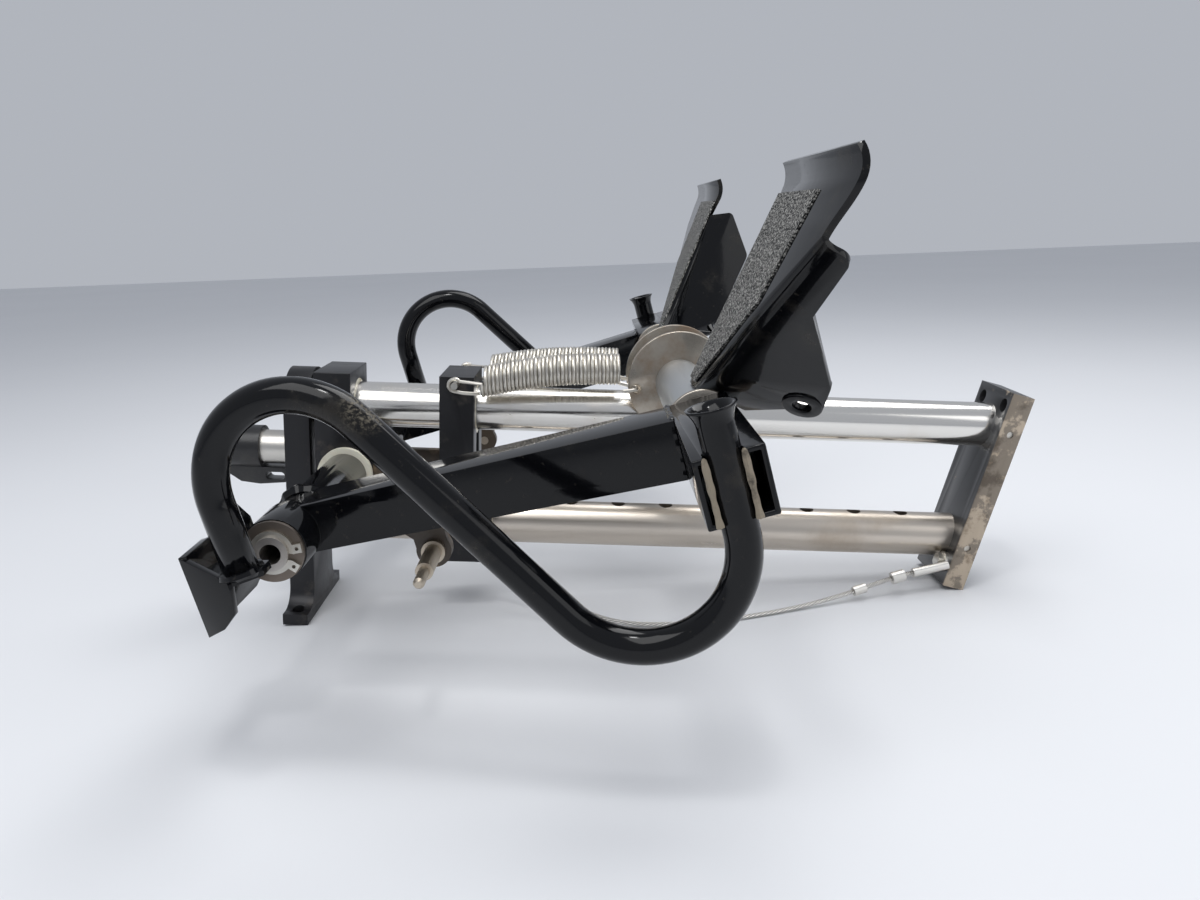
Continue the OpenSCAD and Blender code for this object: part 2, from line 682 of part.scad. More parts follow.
rear_foot();
upper_guide_tube();
lower_lock_tube();
front_plate();
tube_grub_screws();
handle_tube();
release_handle();
cable_eyelet();
eyelet_screw();
stop_cable();
cable_ferrules();
rear_carriage_block();
front_carriage_block();
guide_bushes();
carriage_tie_bar();
pivot_axle();
pivot_washers();
pivot_circlips();
spring_anchor_pin();
lock_pin();
for (side = [-1, 1]) let (of_side = side < 0 ? "right_" : "left_") on_side(side) {
  arm();
  cross_tube();
  s_tube();
  s_tube_bracket();
  inner_bush();
  outer_bush();
  stud_bracket();
  brake_stud();
  pedal_shaft();
  spring_disc();
  hub_washer();
  pedal_hub();
  brake_pedal();
  grip_pad();
  return_spring();
}
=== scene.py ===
"""Adjustable rudder pedals of a light aircraft, dressed for a studio view."""
import json
import math

import bpy
from mathutils import Matrix, Vector

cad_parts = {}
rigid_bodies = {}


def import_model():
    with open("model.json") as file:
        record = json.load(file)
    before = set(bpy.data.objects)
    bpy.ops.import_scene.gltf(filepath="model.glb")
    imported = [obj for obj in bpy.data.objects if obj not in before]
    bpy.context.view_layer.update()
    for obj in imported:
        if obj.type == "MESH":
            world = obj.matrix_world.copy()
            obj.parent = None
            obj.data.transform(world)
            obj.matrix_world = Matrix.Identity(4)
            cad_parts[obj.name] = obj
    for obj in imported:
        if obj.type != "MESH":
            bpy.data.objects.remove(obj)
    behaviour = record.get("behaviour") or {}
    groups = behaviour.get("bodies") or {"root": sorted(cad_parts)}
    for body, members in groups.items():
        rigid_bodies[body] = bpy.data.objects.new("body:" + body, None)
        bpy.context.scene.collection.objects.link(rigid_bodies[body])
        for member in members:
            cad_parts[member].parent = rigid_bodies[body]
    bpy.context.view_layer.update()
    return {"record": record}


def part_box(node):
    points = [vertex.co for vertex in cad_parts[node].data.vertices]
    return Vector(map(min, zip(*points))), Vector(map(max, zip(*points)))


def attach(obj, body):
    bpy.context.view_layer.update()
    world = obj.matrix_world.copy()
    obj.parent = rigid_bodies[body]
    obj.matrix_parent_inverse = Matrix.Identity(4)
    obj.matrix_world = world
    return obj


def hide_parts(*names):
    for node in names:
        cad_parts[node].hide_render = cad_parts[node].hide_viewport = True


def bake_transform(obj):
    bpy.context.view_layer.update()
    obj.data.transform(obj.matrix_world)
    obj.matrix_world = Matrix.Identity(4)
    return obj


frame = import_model()
MM = 0.001
SIDES = {"right": -1, "left": 1}

# Sizes of the solids that the pieces here follow, in millimetres
# Arm: its pivot (forward, up), its length to the hub, its turn at rest and its two tubes
PIVOT = (21.3, 67.5)
ARM_LEN = 152.5
ARM_REST = math.radians(17.2)
CROSS_W = 20.5
TORQUE_R = 9.6

# S tube: two bends in a plane that is yawed against the arm, and a flared mouth
S_YAW = math.radians(8.2)
S_SET_BACK = 1.2
S_OUT = 178
S_TUBE_R = 5.4
S_WALL = 1.2
S_LOW = (5, 5.6)
S_TOP = 23
S_TURN_LOW = 27.5
S_TURN_HIGH = -13.3
S_BEND_LOW = 27
S_BEND_HIGH = 29.5
FLARE = 2
FLARE_LEN = 5

# Brake pedal: its lean, its place from the hub, the edges of its face, its lip and its link hole
PEDAL_LEAN = math.radians(69)
PEDAL_N = -6.4
PEDAL_T = 9.534
PLATE_RISE = 75
EDGE_IN = (76, 87)
BEND = (94, 174)
BEND_RISE = 58
TIP_W = 184
SHEET = 2
LIP_R = 10
LIP_TURN = math.radians(50)
INNER_FOLD = 66
LUG = (32.7, 20.5)
LUG_R = 7
LUG_HOLE_R = 3.2

# Anchor pin (forward, up), how far out the spring's hook sits on it, and the disc at the spring's other end
ANCHOR = (70, 109.6)
HOOK_OUT = 22
DISC_OUT = 11.6
DISC_FACE = DISC_OUT + 2.4
DISC_HOLE = (-18.7, -3.3)

# Cable: the route of its middle line from the eyelet to the front block
CABLE_D = 2
CABLE = [(277, -19.7, 30.1), (270, -20.9, 28.5), (262, -22.3, 26.2), (252, -24.6, 23.2), (240, -28, 20.4),
         (226, -32.5, 18), (210, -37.5, 16.2), (194, -41.8, 15), (178, -44.5, 13.8), (162, -45.2, 12.7),
         (146, -43.5, 12.2), (132, -39.8, 14), (120, -34.8, 18.4), (109, -28.8, 24.6), (100, -22.6, 30.6),
         (92, -17, 34.8), (86.2, -14, 36)]

# Sizes that only the pieces here have, in millimetres
# Cable: a point of the route, by its number; add_cable finds its place but makes nothing give when the
# carriage slides
CABLE_HELD = 5

# Springs: they lean in over the upper tube, as in the photograph, and hook on the solids' pin and discs
SPRING_START = (81.5, 17, 110.8)
SPRING_END = (140.5, 9, 117)
SPRING_BOW = 2
SPRING_R = 6.2
SPRING_WIRE = 1.6
SPRING_TURNS = 36.25
COIL_STEPS = 20
HOOK_R = 2.7
# A share of the coil from its start; add_spring finds the point there but makes nothing stretch when the
# arm swings
SPRING_GIVES = 0.3
# The wire's end beside the hook, and its end by the disc as (forward of the hole, out, above the hole)
RETURN_WIRE = [(80, 18.6, 105.6), (76.5, 20.4, 105.9), (73, 21.6, 106.3)]
TAIL = [(-4.6, 8.8, 0.8), (-1.4, DISC_OUT - 2.2, 0.2), (0, DISC_OUT - 0.6, 0), (0, DISC_FACE, 0),
        (-0.4, DISC_FACE + 1.4, -0.1), (-2.4, DISC_FACE + 2, -0.4), (-5.8, DISC_FACE + 1.6, -0.9)]

# S tube: the steps and curve of its flare, and how far down its bore is modelled
FLARE_STEPS = 6
FLARE_CURVE = 1.8
BORE_DEPTH = 16

# Pedal's flanges, each in its own plane (through the sheet, up the fold)
# A bend is its centre, radius, first angle and last angle
FOLD_R = 7
PEDAL_EDGE = 0.45
LIP_STEPS = 8
LIP_TRIM = 2.5
CORNER_STEPS = 10
INNER_START = (13, 4)
INNER_BENDS = [((21.4, 19), 4, -0.9, 0), ((22.2, 53), 4.2, -0.1, math.pi / 4),
               ((9.6, 68.4), 2.6, math.pi / 4, math.pi * 0.7)]
OUTER_START = [(6, 3.2), (19, 2)]
CROOK = ((LUG[0] - 1.2, LUG[1] + 15), 4, 0.35, 0.9)
# Above its lug, the outer flange's edge dips towards the fold (depth, distance from the fold's end)
# and ends in a rounded corner
DIP = (13.2, 30)
CORNER_N = 6.2
CORNER_R = 4.6
BOSS_HALF = 1.8
BOSS_EDGE = 0.7
DRILL_HALF = 9

# Weld beads: their radius, and their places out from the part's middle plane
ROOT_BEAD = 2.6
FOOT_BEAD = 1.4
SEAM_BEAD = 1.1
ROOT_OUT = 74
SEAM_OUT = (105, 112, 119, 126)
SIDE_SEAM_OUT = 127.6
TUBE_SEAM_OUT = 181.6

# Worn patch on the near S tube, where shoes rub
SCUFF = (64.5, -166, 128)
SCUFF_R = 9

# Solids whose edges are rounded here, and by how much; a name that starts with _ is on both sides
ROUNDED = {"rear_foot": 1.0, "front_plate": 0.7, "rear_carriage_block": 0.8, "front_carriage_block": 0.8,
           "carriage_tie_bar": 0.5, "release_handle": 1.2, "_arm": 1.6, "_cross_tube": 0.5,
           "_s_tube_bracket": 0.6, "_stud_bracket": 0.8, "_spring_disc": 0.5, "_hub_washer": 0.5}

# Camera, in millimetres and as its focal length, and the lamps in metres: place, size and power
VIEW_FROM = (124.6, -432.6, 182.6)
VIEW_YAW = math.radians(1.19)
VIEW_PITCH = math.radians(13.6)
VIEW_ROLL = 0.0375
LENS = 29.1
LAMP_AIM = (0.16, 0, 0.06)
LAMPS = {"key_lamp": ((-0.25, -0.55, 0.95), 0.7, 4.2), "glint_lamp": ((0.05, -0.35, 1.1), 0.12, 1.2),
         "top_lamp": ((0.35, 0.25, 1.0), 0.6, 4.5), "fill_lamp": ((0.95, -0.5, 0.5), 0.8, 2)}
FLOOR_GAP = 0.0002
# How far the front plate's lowest edge lies ahead of its box's low corner
PLATE_EDGE = 0.004


def in_metres(place):
    return tuple(c * MM for c in place)


def arm_point(u, w, v):
    """A point of the arm's own frame (along, outward, upward) in the part's frame, in millimetres."""
    return (PIVOT[0] + u * math.cos(ARM_REST) - v * math.sin(ARM_REST), w,
            PIVOT[1] + u * math.sin(ARM_REST) + v * math.cos(ARM_REST))


HUB = arm_point(ARM_LEN, 0, 0)


def set_camera():
    ahead = Vector((math.sin(VIEW_YAW) * math.cos(VIEW_PITCH), math.cos(VIEW_YAW) * math.cos(VIEW_PITCH),
                    -math.sin(VIEW_PITCH)))
    level = Vector((math.cos(VIEW_YAW), -math.sin(VIEW_YAW), 0))
    down = ahead.cross(level)
    right = level * math.cos(VIEW_ROLL) - down * math.sin(VIEW_ROLL)
    up = -(level * math.sin(VIEW_ROLL) + down * math.cos(VIEW_ROLL))
    turn = Matrix((right, up, -ahead)).transposed().to_4x4()
    bpy.ops.object.camera_add()
    camera = bpy.context.object
    camera.matrix_world = Matrix.Translation(Vector(VIEW_FROM) * MM) @ turn
    camera.data.lens = LENS
    camera.data.sensor_width = 36
    camera.data.clip_start = 0.01
    bpy.context.scene.camera = camera


# Shader maths on sockets
class Value:
    """A socket that takes part in Python expressions; each operator adds one Math node."""

    def __init__(self, sheet, socket):
        self.sheet = sheet
        self.socket = socket

    def _math(self, operation, *inputs):
        return self.sheet.node("ShaderNodeMath", {"operation": operation}, dict(enumerate(inputs)))

    def __add__(self, other):
        return self._math("ADD", self, other)

    __radd__ = __add__

    def __sub__(self, other):
        return self._math("SUBTRACT", self, other)

    def __rsub__(self, other):
        return self._math("SUBTRACT", other, self)

    def __mul__(self, other):
        return self._math("MULTIPLY", self, other)

    __rmul__ = __mul__


class Finish:
    """One material and the nodes that make it."""

    def __init__(self, name, **constants):
        self.material = bpy.data.materials.new(name)
        self.material.use_nodes = True
        self.tree = self.material.node_tree
        self.shader = self.tree.nodes["Principled BSDF"]
        for socket, value in constants.items():
            self.shader.inputs[socket.replace("_", " ")].default_value = value
        self.place = self.node("ShaderNodeTexCoord", output="Object")

    def node(self, kind, settings=None, inputs=None, output=0):
        made = self.tree.nodes.new(kind)
        for key, value in (settings or {}).items():
            setattr(made, key, value)
        for key, value in (inputs or {}).items():
            if isinstance(value, Value):
                self.tree.links.new(value.socket, made.inputs[key])
            else:
                made.inputs[key].default_value = value
        return Value(self, made.outputs[output])

    def feed(self, socket, value):
        self.tree.links.new(value.socket, self.shader.inputs[socket])

    def noise(self, scale, detail=4, rough=0.55, stretch=(1, 1, 1)):
        spot = self.node("ShaderNodeMapping", inputs={"Vector": self.place, "Scale": stretch})
        return self.node("ShaderNodeTexNoise", inputs={"Vector": spot, "Scale": scale, "Detail": detail,
                                                       "Roughness": rough})

    def cells(self, scale):
        return self.node("ShaderNodeTexVoronoi", inputs={"Vector": self.place, "Scale": scale})

    def ramp(self, value, low, high):
        return self.node("ShaderNodeMapRange", {"interpolation_type": "SMOOTHSTEP"},
                         {"Value": value, "From Min": low, "From Max": high})

    def near(self, centre, reach):
        """A mask round a point of the part in millimetres; it fades out at reach."""
        away = self.node("ShaderNodeVectorMath", {"operation": "DISTANCE"},
                         {0: self.place, 1: in_metres(centre)}, output="Value")
        return 1 - self.ramp(away, reach * MM * 0.35, reach * MM)

    def blend(self, mask, first, second):
        return self.node("ShaderNodeMix", {"data_type": "RGBA"},
                         {"Factor": mask, 6: as_colour(first), 7: as_colour(second)}, output=2)

    def bump(self, height, depth, strength):
        self.feed("Normal", self.node("ShaderNodeBump", inputs={"Height": height, "Distance": depth,
                                                                "Strength": strength}))


def as_colour(value):
    return value if isinstance(value, Value) else (*value, 1)


def gloss_black():
    made = Finish("gloss_black", Coat_Roughness=0.04, IOR=1.32)
    dust = made.ramp(made.noise(38, detail=8, rough=0.62), 0.58, 0.74)
    speck = made.ramp(made.noise(420, detail=2), 0.66, 0.74)
    wear = dust * 0.5 + speck * 0.35
    scuff = made.near(SCUFF, SCUFF_R) * made.ramp(made.noise(900, detail=5, rough=0.65), 0.44, 0.64)
    paint = made.blend(wear, (0.0025, 0.0027, 0.0035), (0.04, 0.035, 0.028))
    made.feed("Base Color", made.blend(scuff * 0.6, paint, (0.2, 0.175, 0.13)))
    made.feed("Roughness", 0.1 + wear * 0.42 + scuff * 0.4)
    made.feed("Coat Weight", 0.1 - wear * 0.1)
    made.bump(made.noise(160, detail=3), 0.00035, 0.12)
    return made.material


def steel(name, pale, stain, rough, streak_axis, stained=0.5, grain=0.12):
    """Bare metal with fine streaks along one axis and soft stains."""
    made = Finish(name, Metallic=1.0)
    stretch = tuple(0.03 if axis == streak_axis else 1 for axis in range(3))
    line = made.noise(260, detail=3, rough=0.6, stretch=stretch)
    spot = made.ramp(made.noise(26, detail=6, rough=0.6), 0.5, 0.75)
    made.feed("Base Color", made.blend(spot * stained, pale, stain))
    made.feed("Roughness", rough + line * grain + spot * 0.16)
    made.bump(line, 0.00008, 0.25)
    return made.material


def turned_steel(name, pale, stain, rough):
    """Steel with the fine rings that a lathe leaves round the pedal shaft."""
    made = Finish(name, Metallic=1.0)
    centre = made.node("ShaderNodeVectorMath", {"operation": "SUBTRACT"},
                       {0: made.place, 1: (HUB[0] * MM, 0, HUB[2] * MM)})
    flat = made.node("ShaderNodeVectorMath", {"operation": "MULTIPLY"}, {0: centre, 1: (1, 0, 1)})
    reach = made.node("ShaderNodeVectorMath", {"operation": "LENGTH"}, {0: flat}, output="Value")
    rings = made.node("ShaderNodeMath", {"operation": "SINE"}, {0: reach * 14000})
    stained = made.ramp(made.noise(60, detail=6, rough=0.6), 0.42, 0.7)
    made.feed("Base Color", made.blend(stained, pale, stain))
    made.feed("Roughness", rough + stained * 0.18 + rings * 0.03)
    made.bump(rings, 0.00004, 0.2)
    return made.material


def anodised():
    made = Finish("anodised_black", Metallic=0.55)
    scuff = made.ramp(made.noise(70, detail=8, rough=0.65), 0.55, 0.75)
    line = made.noise(240, detail=3, rough=0.6, stretch=(0.1, 1, 1))
    made.feed("Base Color", made.blend(scuff * 0.6, (0.02, 0.02, 0.022), (0.11, 0.095, 0.08)))
    made.feed("Roughness", 0.3 + line * 0.12 + scuff * 0.15)
    made.bump(line, 0.0001, 0.2)
    return made.material


def worn_plate():
    """Black paint that is worn to the primer on the near edge and chipped elsewhere."""
    made = Finish("worn_plate")
    across = made.node("ShaderNodeSeparateXYZ", inputs={0: made.place}, output="Y")
    near_edge = made.ramp(across * -1000, 16.5, 18)
    kept = made.ramp(made.noise(46, detail=9, rough=0.68), 0.47, 0.52)
    rust = made.ramp(made.noise(90, detail=6, rough=0.6), 0.5, 0.66)
    chips = made.ramp(made.noise(60, detail=8, rough=0.7), 0.62, 0.68)
    bare = made.node("ShaderNodeMath", {"operation": "MAXIMUM"},
                     {0: near_edge * (1 - kept * 0.55), 1: chips * 0.8})
    primer = made.blend(rust, (0.46, 0.38, 0.29), (0.2, 0.15, 0.1))
    made.feed("Base Color", made.blend(bare, (0.018, 0.018, 0.019), primer))
    made.feed("Roughness", 0.3 + bare * 0.4)
    made.bump(bare, 0.0003, -0.35)
    return made.material


def nylon():
    made = Finish("cream_nylon", Subsurface_Weight=0.05)
    grime = made.ramp(made.noise(120, detail=7, rough=0.6), 0.5, 0.75)
    made.feed("Base Color", made.blend(grime, (0.76, 0.71, 0.58), (0.48, 0.4, 0.28)))
    made.feed("Roughness", 0.42 + grime * 0.2)
    made.bump(made.noise(600, detail=2), 0.0001, 0.2)
    return made.material


def grip_tape():
    made = Finish("grip_tape", IOR=1.45)
    grit = made.cells(1200)
    tone = made.ramp(made.noise(1400, detail=2, rough=0.6), 0.49, 0.58)
    tread = made.ramp(made.noise(30, detail=5, rough=0.6), 0.45, 0.7)
    base = made.blend(tone, (0.012, 0.012, 0.012), (0.4, 0.39, 0.36))
    made.feed("Base Color", made.blend(tread * 0.22, base, (0.15, 0.143, 0.13)))
    made.feed("Roughness", 0.8 - tone * 0.35)
    made.bump(grit, 0.0006, 0.8)
    return made.material


def painted(name, colour, worn, rough, scale=60):
    made = Finish(name)
    mask = made.ramp(made.noise(scale, detail=8, rough=0.65), 0.5, 0.72)
    made.feed("Base Color", made.blend(mask, colour, worn))
    made.feed("Roughness", rough + mask * 0.25)
    made.bump(made.noise(scale * 8, detail=3), 0.0002, 0.25)
    return made.material


def wire_rope():
    """Six strands laid round the cable, along its own UV map, with painted shade in the grooves between
    them.
    """
    made = Finish("wire_rope", Metallic=1.0)
    spot = made.node("ShaderNodeTexCoord", output="UV")
    along = made.node("ShaderNodeSeparateXYZ", inputs={0: spot}, output="X")
    around = made.node("ShaderNodeSeparateXYZ", inputs={0: spot}, output="Y")
    lay = made.node("ShaderNodeMath", {"operation": "SINE"}, {0: along * 640 + around * 37.7})
    # Painted shade: the colour is dark in the grooves between strands and pale on their crests
    made.feed("Base Color", made.blend(made.ramp(lay, -1, 0.4), (0.34, 0.33, 0.31), (0.86, 0.84, 0.8)))
    made.feed("Roughness", 0.34 - lay * 0.08)
    made.bump(lay, 0.0004, 0.7)
    return made.material


FINISHES = {
    "gloss_black": gloss_black(),
    "polished_tube": steel("polished_tube", (0.8, 0.78, 0.74), (0.62, 0.55, 0.46), 0.1, 0,
                           stained=0.35, grain=0.1),
    "worn_tube": steel("worn_tube", (0.62, 0.56, 0.49), (0.4, 0.32, 0.24), 0.24, 0, stained=0.7),
    "zinc_fastener": steel("zinc_fastener", (0.62, 0.6, 0.55), (0.42, 0.36, 0.27), 0.3, 1),
    "handle_steel": steel("handle_steel", (0.6, 0.58, 0.54), (0.35, 0.3, 0.25), 0.26, 0),
    "cable_steel": steel("cable_steel", (0.72, 0.7, 0.66), (0.5, 0.46, 0.4), 0.25, 0),
    "axle_steel": steel("axle_steel", (0.56, 0.53, 0.5), (0.36, 0.3, 0.24), 0.3, 1),
    "dark_washer": steel("dark_washer", (0.2, 0.17, 0.145), (0.1, 0.08, 0.065), 0.36, 1),
    "hub_zinc": steel("hub_zinc", (0.55, 0.57, 0.58), (0.33, 0.33, 0.33), 0.34, 1, stained=0.6),
    "spring_steel": steel("spring_steel", (0.66, 0.63, 0.57), (0.47, 0.41, 0.32), 0.33, 1, grain=0.06),
    "disc_steel": turned_steel("disc_steel", (0.47, 0.43, 0.37), (0.3, 0.23, 0.17), 0.3),
    "cadmium": steel("cadmium", (0.5, 0.44, 0.36), (0.3, 0.23, 0.16), 0.34, 1),
    "anodised_black": anodised(),
    "plate_paint": worn_plate(),
    "nylon": nylon(),
    "grip_tape": grip_tape(),
    "handle_black": painted("handle_black", (0.012, 0.012, 0.013), (0.04, 0.038, 0.035), 0.32),
    "tie_bar_brown": painted("tie_bar_brown", (0.05, 0.036, 0.024), (0.2, 0.14, 0.085), 0.4),
}
ROPE = wire_rope()
GRIMY_WELD = painted("grimy_weld", (0.25, 0.21, 0.155), (0.04, 0.034, 0.027), 0.6, 150)


def dress(piece, slot, body):
    piece.data.materials.clear()
    piece.data.materials.append(FINISHES[slot])
    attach(piece, body)


def dress_solids():
    for part in frame["record"]["subparts"]:
        solid = bpy.data.objects[part["node"]]
        solid.data.materials.clear()
        solid.data.materials.append(FINISHES[part["material_slot"]])


# Mesh tools
def make_active(piece):
    bpy.ops.object.select_all(action="DESELECT")
    piece.select_set(True)
    bpy.context.view_layer.objects.active = piece


def apply_modifier(piece, kind, **settings):
    make_active(piece)
    bpy.ops.object.modifier_add(type=kind)
    made = piece.modifiers[-1]
    for key, value in settings.items():
        setattr(made, key, value)
    bpy.ops.object.modifier_apply(modifier=made.name)


def round_edges(piece, width, segments, sharp):
    """Round the edges that turn by more than sharp degrees, and shade the rest smooth."""
    apply_modifier(piece, "BEVEL", width=width * MM, segments=segments, limit_method="ANGLE",
                   angle_limit=math.radians(sharp))
    bpy.ops.object.shade_smooth_by_angle(angle=math.radians(35))


def cut(piece, tool):
    """Cut piece with tool, which is then gone."""
    apply_modifier(piece, "BOOLEAN", object=tool, operation="DIFFERENCE", solver="EXACT")
    bpy.data.objects.remove(tool)


def add_rod(name, low, high, radius):
    low, high = Vector(low), Vector(high)
    turn = (high - low).to_track_quat("Z", "Y").to_euler()
    bpy.ops.object.select_all(action="DESELECT")
    bpy.ops.mesh.primitive_cylinder_add(vertices=48, radius=radius, depth=(high - low).length,
                                        location=(low + high) / 2, rotation=turn)
    rod = bpy.context.object
    rod.name = name
    bpy.ops.object.transform_apply(location=True, rotation=True, scale=True)
    return rod


def sweep_mesh(name, points, radius, sides, radii=None, capped=True):
    """A wire or pipe along points in millimetres, made as a bevelled curve and turned into a mesh."""
    bpy.ops.object.select_all(action="DESELECT")
    curve = bpy.data.curves.new(name, "CURVE")
    curve.dimensions = "3D"
    curve.bevel_depth = radius * MM
    curve.bevel_resolution = max(1, sides // 4 - 1)
    curve.use_fill_caps = capped
    curve.twist_mode = "MINIMUM"
    line = curve.splines.new("POLY")
    line.points.add(len(points) - 1)
    for i, place in enumerate(points):
        line.points[i].co = (*in_metres(place), 1)
        line.points[i].radius = radii[i] if radii else 1
    piece = bpy.data.objects.new(name, curve)
    bpy.context.collection.objects.link(piece)
    bpy.context.view_layer.objects.active = piece
    piece.select_set(True)
    bpy.ops.object.convert(target="MESH")
    piece = bpy.context.object
    bpy.ops.object.shade_smooth_by_angle(angle=math.radians(40))
    return piece


def arc(centre, radius, start, end, steps):
    return [(centre[0] + radius * math.cos(start + (end - start) * i / steps),
             centre[1] + radius * math.sin(start + (end - start) * i / steps)) for i in range(steps + 1)]


def smooth_route(points, per_span):
    """A rounded route through given points."""
    out = []
    ends = [points[0]] + list(points) + [points[-1]]
    for i in range(1, len(ends) - 2):
        p0, p1, p2, p3 = (Vector(p) for p in ends[i - 1:i + 3])
        for k in range(per_span):
            t = k / per_span
            out.append(0.5 * (2 * p1 + (p2 - p0) * t + (2 * p0 - 5 * p1 + 4 * p2 - p3) * t * t
                              + (3 * p1 - p0 - 3 * p2 + p3) * t ** 3))
    return [tuple(p) for p in out] + [points[-1]]


# S tubes
def s_line():
    """Middle line of the S tube in its own plane: forward and upward, in millimetres."""
    span = (ARM_LEN - S_SET_BACK - S_LOW[0]) / math.cos(S_YAW)
    low = (-span + S_BEND_LOW, S_TURN_LOW)
    high = (-S_BEND_HIGH, S_TURN_HIGH)
    step = (high[0] - low[0], high[1] - low[1])
    start = math.atan2(step[1], step[0]) + math.acos((S_BEND_LOW + S_BEND_HIGH) / math.hypot(*step))
    turns = 40
    return ([(-span, S_LOW[1])] + arc(low, S_BEND_LOW, math.pi, start, turns)
            + arc(high, S_BEND_HIGH, start + math.pi, 2 * math.pi, turns) + [(0, S_TOP - FLARE_LEN)])


def s_place(p, v, side):
    u = ARM_LEN - S_SET_BACK + p * math.cos(S_YAW)
    x, w, z = arm_point(u, S_OUT + p * math.sin(S_YAW), v)
    return (x, side * w, z)


def add_s_tube(side_name):
    side = SIDES[side_name]
    line = s_line()
    shares = [k / FLARE_STEPS for k in range(1, FLARE_STEPS + 1)]
    flare = [(0, S_TOP - FLARE_LEN * (1 - share)) for share in shares]
    opened = [1 + FLARE / S_TUBE_R * share ** FLARE_CURVE for share in shares]
    points = [s_place(p, v, side) for p, v in line + flare]
    pipe = sweep_mesh(side_name + "_bent_cable_tube", points, S_TUBE_R, 32, [1] * len(line) + opened, False)
    open_mouth(pipe, Vector(points[0]) * MM, Vector(points[-1]) * MM)
    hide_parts(side_name + "_s_tube")
    dress(pipe, "gloss_black", side_name + "_rudder_arm")


def open_mouth(pipe, low, mouth):
    """Turn the flared rim inward by the wall and down the bore, and close the pipe's foot."""
    pick_ring(pipe, mouth)
    bpy.ops.mesh.extrude_edges_move()
    bpy.ops.transform.resize(value=(1 - S_WALL / (S_TUBE_R + FLARE),) * 3, center_override=mouth)
    centre = mouth.copy()
    narrowed = (S_TUBE_R - S_WALL) / (S_TUBE_R + FLARE - S_WALL)
    for drop, scale in ((FLARE_LEN, narrowed), (BORE_DEPTH, 1)):
        down = Vector((math.sin(ARM_REST), 0, -math.cos(ARM_REST))) * drop * MM
        centre += down
        bpy.ops.mesh.extrude_edges_move(TRANSFORM_OT_translate={"value": down})
        bpy.ops.transform.resize(value=(scale,) * 3, center_override=centre)
    bpy.ops.mesh.edge_face_add()
    pick_ring(pipe, low)
    bpy.ops.mesh.edge_face_add()
    bpy.ops.mesh.select_all(action="SELECT")
    bpy.ops.mesh.normals_make_consistent(inside=False)
    bpy.ops.object.mode_set(mode="OBJECT")


def pick_ring(pipe, centre):
    """Select the open rim round a point, and stay in edit mode."""
    if bpy.context.mode != "OBJECT":
        bpy.ops.object.mode_set(mode="OBJECT")
    bpy.ops.object.mode_set(mode="EDIT")
    bpy.ops.mesh.select_mode(type="VERT")
    bpy.ops.mesh.select_all(action="DESELECT")
    bpy.ops.mesh.select_non_manifold()
    bpy.ops.object.mode_set(mode="OBJECT")
    for vertex in pipe.data.vertices:
        vertex.select = vertex.select and (vertex.co - centre).length < 2 * S_TUBE_R * MM
    for edge in pipe.data.edges:
        edge.select = edge.select and all(pipe.data.vertices[v].select for v in edge.vertices)
    bpy.ops.object.mode_set(mode="EDIT")


# Brake pedals
def pedal_point(n, w, t, side):
    """A point of the pedal's own frame (forward through the sheet, outward, up the plate) in metres."""
    n += PEDAL_N
    t += PEDAL_T
    lean = math.pi / 2 - PEDAL_LEAN
    return ((HUB[0] + n * math.cos(lean) + t * math.sin(lean)) * MM, side * w * MM,
            (HUB[2] - n * math.sin(lean) + t * math.cos(lean)) * MM)


def on_flange(foot, turn, outline):
    """Points (n, s) of a flange that is folded along a line of the face, in the pedal's frame."""
    return [(n, foot + s * math.sin(turn), s * math.cos(turn)) for n, s in outline]


def eye_arc(radius, start, end):
    """Points of a circle round the link hole, in the flange's own plane."""
    return arc(LUG, radius, math.radians(start), math.radians(end), 12)


def pedal_faces():
    """The pedal's sheet as faces on its middle plane, its fold lines, and the outer fold's turn."""
    in_turn = math.atan2(EDGE_IN[1] - EDGE_IN[0], PLATE_RISE)
    out_turn = math.atan2(BEND[1] - BEND[0], BEND_RISE)
    out_len = BEND_RISE / math.cos(out_turn)
    mid = SHEET / 2
    fold_in = on_flange(EDGE_IN[0], in_turn, [(mid, 0), (mid, INNER_FOLD)])
    fold_out = on_flange(BEND[0], out_turn, [(mid, 0), (mid, LUG[1]), (mid, out_len)])
    corner = [(mid, BEND[1] + (TIP_W - BEND[1]) * (1 - math.cos(math.pi * i / CORNER_STEPS)) / 2,
               BEND_RISE + (PLATE_RISE - BEND_RISE) * i / CORNER_STEPS) for i in range(1, CORNER_STEPS + 1)]
    top_in = (mid, EDGE_IN[1], PLATE_RISE)
    faces = [[fold_in[0]] + fold_out + corner + [top_in, fold_in[1]]]
    rows = []
    for i in range(LIP_STEPS + 1):
        turn = LIP_TURN * i / LIP_STEPS
        reach = LIP_R + mid
        rows.append([(-LIP_R + reach * math.cos(turn), w, PLATE_RISE + reach * math.sin(turn))
                     for w in (EDGE_IN[1], TIP_W - LIP_TRIM * (i / LIP_STEPS) ** 3)])
    faces += [[low[0], low[1], high[1], high[0]] for low, high in zip(rows, rows[1:])]
    inner = [INNER_START] + [p for bend in INNER_BENDS for p in arc(*bend, 6)]
    faces.append(on_flange(EDGE_IN[0], in_turn, inner) + [fold_in[1], fold_in[0]])
    below = OUTER_START + eye_arc(LUG_R, -115, 0) + eye_arc(LUG_HOLE_R, 0, -180)
    corner_out = arc((CORNER_N, out_len - CORNER_R), CORNER_R, 0.1, math.pi / 2, 8)
    above = (eye_arc(LUG_HOLE_R, 180, 0) + eye_arc(LUG_R, 0, 15) + arc(*CROOK, 4)
             + [(DIP[0], out_len - DIP[1])] + corner_out)
    faces.append(on_flange(BEND[0], out_turn, below) + [fold_out[1], fold_out[0]])
    faces.append([fold_out[1]] + on_flange(BEND[0], out_turn, above) + [fold_out[2]])
    return faces, [fold_in, fold_out[:2], fold_out[1:]], out_turn


